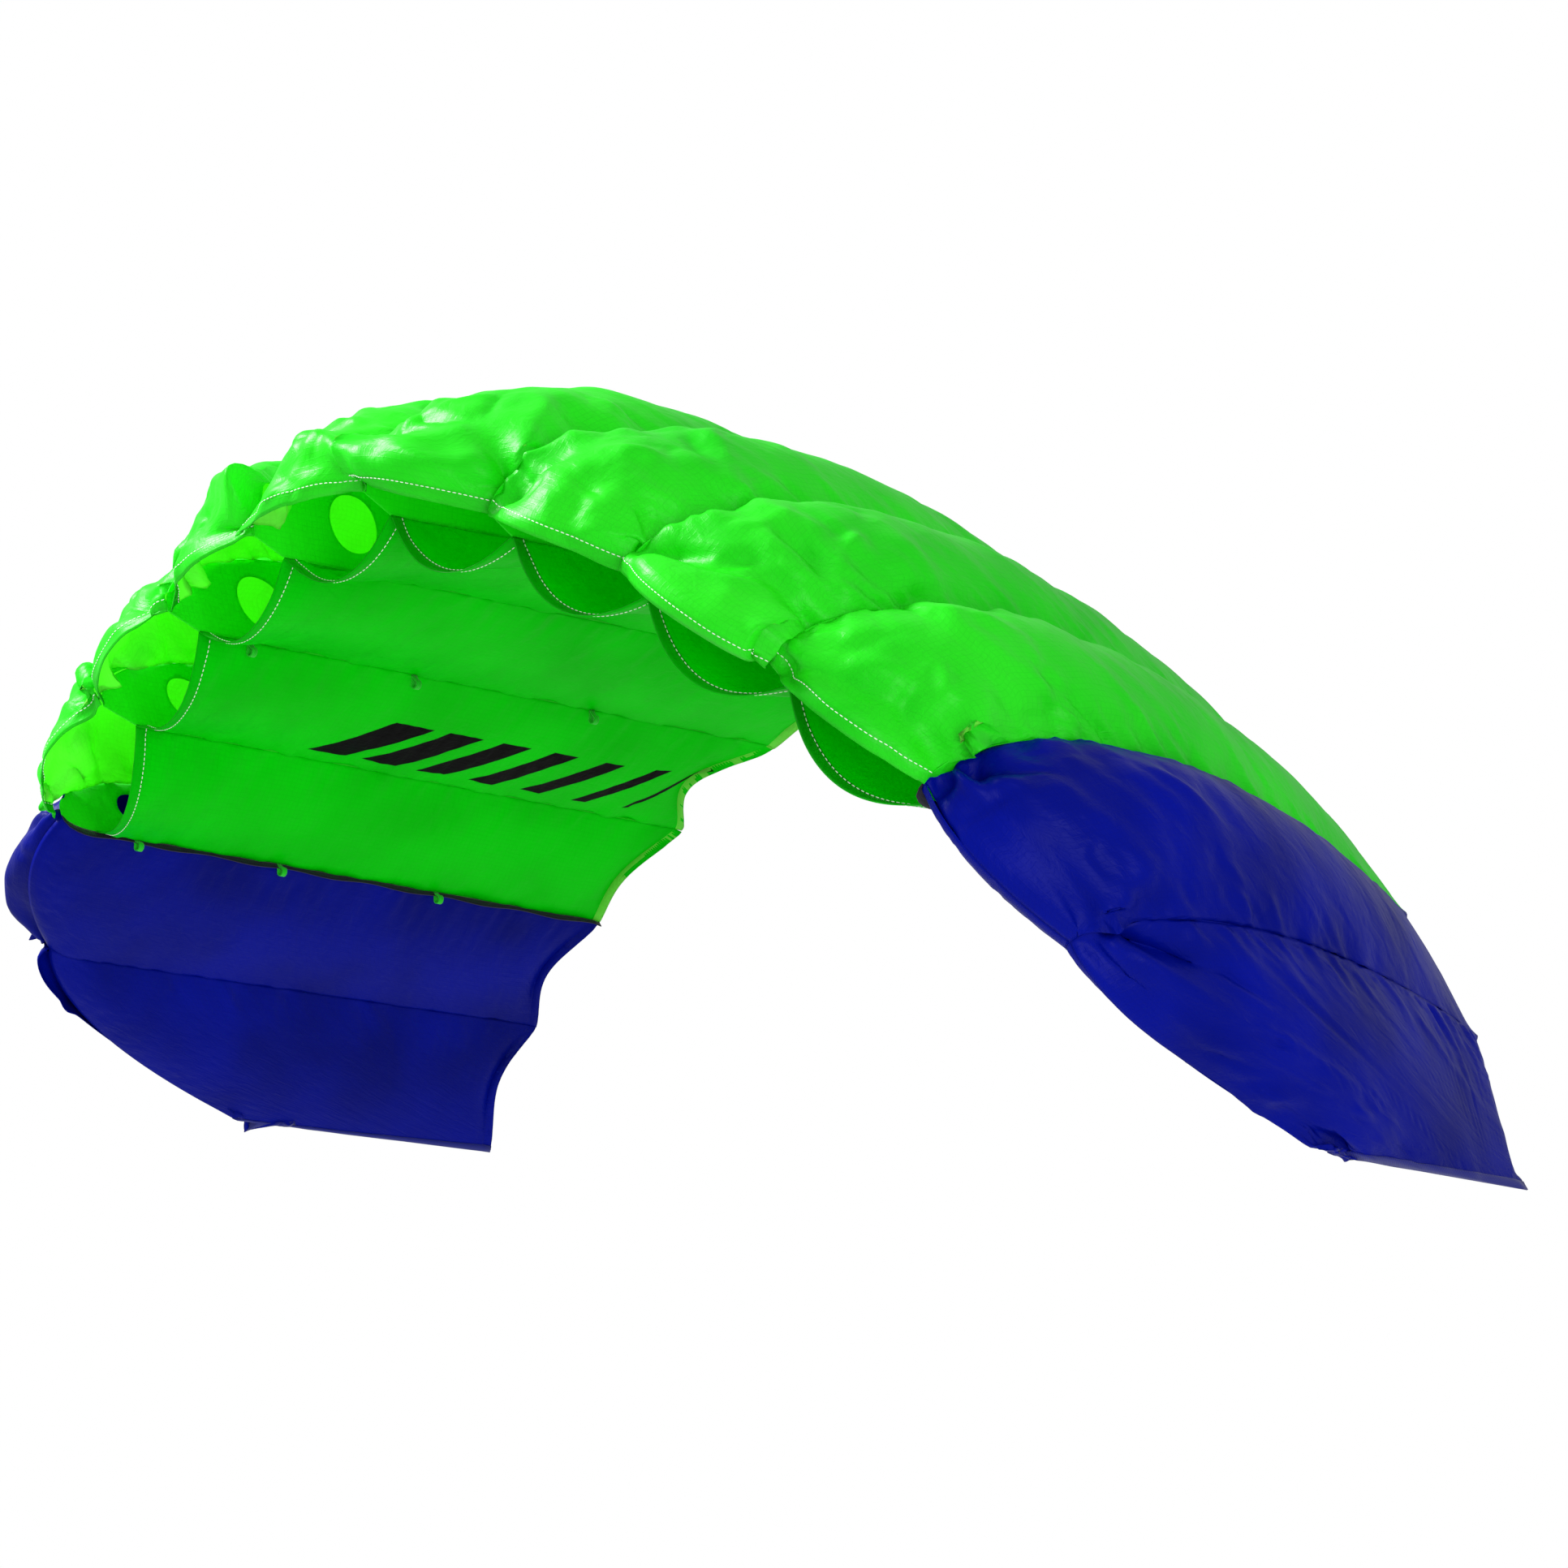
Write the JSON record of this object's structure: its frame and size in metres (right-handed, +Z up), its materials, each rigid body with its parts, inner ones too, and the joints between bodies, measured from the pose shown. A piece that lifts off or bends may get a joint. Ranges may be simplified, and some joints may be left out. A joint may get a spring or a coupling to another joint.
{
  "type": "parafoil kite",
  "caption": "Arched ram-air kite canopy: ribbed open-mouth cells between two skins, closed tapered tip cells, bridle loops under the ribs.",
  "frame": {"origin": "centre of the front bridle loop on the centre rib", "axes": "+X along the span to the right wing, +Y along the chord from the mouths to the trailing edge, +Z up, towards the top skin"},
  "size_m": [1.3086, 0.7528, 0.5818],
  "materials": {
    "green_ripstop": "coated ripstop cloth, light sheen",
    "blue_ripstop": "coated ripstop cloth, light sheen",
    "hem_tape": "folded hem with white stitching",
    "blue_tape": "folded hem",
    "loop_tape": "woven polyester tape"
  },
  "bodies": {
    "centre": {"rib_centre": "green_ripstop", "bridle_loop_front_centre": "loop_tape", "bridle_loops_rear_centre": "loop_tape", "top_panel_left_1": "green_ripstop", "bottom_panel_left_1": "green_ripstop", "mouth_hem_left_1": "hem_tape", "rib_left_1": "green_ripstop", "top_panel_right_1": "green_ripstop", "bottom_panel_right_1": "green_ripstop", "mouth_hem_right_1": "hem_tape", "rib_right_1": "green_ripstop"},
    "left_cell_2": {"top_panel_left_2": "green_ripstop", "bottom_panel_left_2": "green_ripstop", "mouth_hem_left_2": "hem_tape", "rib_left_2": "green_ripstop", "bridle_loop_front_left_2": "loop_tape", "bridle_loops_rear_left_2": "loop_tape"},
    "left_cell_3": {"top_panel_left_3": "green_ripstop", "bottom_panel_left_3": "green_ripstop", "mouth_hem_left_3": "hem_tape", "rib_left_3": "green_ripstop"},
    "left_cell_4": {"top_panel_left_4": "green_ripstop", "bottom_panel_left_4": "green_ripstop", "mouth_hem_left_4": "hem_tape", "rib_left_4": "green_ripstop", "bridle_loop_front_left_4": "loop_tape", "bridle_loops_rear_left_4": "loop_tape"},
    "left_cell_5": {"top_panel_left_5": "blue_ripstop", "bottom_panel_left_5": "blue_ripstop", "rib_left_5": "blue_ripstop"},
    "left_cell_6": {"top_panel_left_6": "blue_ripstop", "bottom_panel_left_6": "blue_ripstop", "tip_binding_left": "blue_tape"},
    "right_cell_2": {"top_panel_right_2": "green_ripstop", "bottom_panel_right_2": "green_ripstop", "mouth_hem_right_2": "hem_tape", "rib_right_2": "green_ripstop", "bridle_loop_front_right_2": "loop_tape", "bridle_loops_rear_right_2": "loop_tape"},
    "right_cell_3": {"top_panel_right_3": "green_ripstop", "bottom_panel_right_3": "green_ripstop", "mouth_hem_right_3": "hem_tape", "rib_right_3": "green_ripstop"},
    "right_cell_4": {"top_panel_right_4": "green_ripstop", "bottom_panel_right_4": "green_ripstop", "mouth_hem_right_4": "hem_tape", "rib_right_4": "green_ripstop", "bridle_loop_front_right_4": "loop_tape", "bridle_loops_rear_right_4": "loop_tape"},
    "right_cell_5": {"top_panel_right_5": "blue_ripstop", "bottom_panel_right_5": "blue_ripstop", "rib_right_5": "blue_ripstop"},
    "right_cell_6": {"top_panel_right_6": "blue_ripstop", "bottom_panel_right_6": "blue_ripstop", "tip_binding_right": "blue_tape"}
  },
  "joints": [
    {"name": "wing_flex_left_1", "type": "hinge", "parent": "centre", "child": "left_cell_2", "pos_m": [-0.15912, -0.07804, 0.07542], "axis": [0.0039, 0.9999, -0.014], "range_deg": [0, 11]},
    {"name": "wing_flex_left_2", "type": "hinge", "parent": "left_cell_2", "child": "left_cell_3", "pos_m": [-0.30142, -0.05536, 0.0183], "axis": [0.0124, 0.9996, -0.0263], "range_deg": [0, 8.5]},
    {"name": "wing_flex_left_3", "type": "hinge", "parent": "left_cell_3", "child": "left_cell_4", "pos_m": [-0.43012, -0.01842, -0.05917], "axis": [0.0238, 0.999, -0.0366], "range_deg": [0, 7]},
    {"name": "tip_flex_left_1", "type": "hinge", "parent": "left_cell_4", "child": "left_cell_5", "pos_m": [-0.54915, 0.03271, -0.1549], "axis": [0.04, 0.9983, -0.0422], "range_deg": [0, 14]},
    {"name": "tip_flex_left_2", "type": "hinge", "parent": "left_cell_5", "child": "left_cell_6", "pos_m": [-0.64445, 0.09795, -0.28313], "axis": [0.0639, 0.9974, -0.0347], "range_deg": [0, 22]},
    {"name": "wing_flex_right_1", "type": "hinge", "parent": "centre", "child": "right_cell_2", "pos_m": [0.15912, -0.07804, 0.07542], "axis": [0.0039, -0.9999, 0.014], "range_deg": [0, 11]},
    {"name": "wing_flex_right_2", "type": "hinge", "parent": "right_cell_2", "child": "right_cell_3", "pos_m": [0.30142, -0.05536, 0.0183], "axis": [0.0124, -0.9996, 0.0263], "range_deg": [0, 8.5]},
    {"name": "wing_flex_right_3", "type": "hinge", "parent": "right_cell_3", "child": "right_cell_4", "pos_m": [0.43012, -0.01842, -0.05917], "axis": [0.0238, -0.999, 0.0366], "range_deg": [0, 7]},
    {"name": "tip_flex_right_1", "type": "hinge", "parent": "right_cell_4", "child": "right_cell_5", "pos_m": [0.54915, 0.03271, -0.1549], "axis": [0.04, -0.9983, 0.0422], "range_deg": [0, 14]},
    {"name": "tip_flex_right_2", "type": "hinge", "parent": "right_cell_5", "child": "right_cell_6", "pos_m": [0.64445, 0.09795, -0.28313], "axis": [0.0639, -0.9974, 0.0347], "range_deg": [0, 22]}
  ],
  "couplings": [
    {"joint": "wing_flex_left_2", "follows": "wing_flex_left_1", "ratio": 0.77273},
    {"joint": "wing_flex_left_3", "follows": "wing_flex_left_1", "ratio": 0.63636},
    {"joint": "tip_flex_left_2", "follows": "tip_flex_left_1", "ratio": 1.5714},
    {"joint": "wing_flex_right_2", "follows": "wing_flex_right_1", "ratio": 0.77273},
    {"joint": "wing_flex_right_3", "follows": "wing_flex_right_1", "ratio": 0.63636},
    {"joint": "tip_flex_right_2", "follows": "tip_flex_right_1", "ratio": 1.5714}
  ]
}
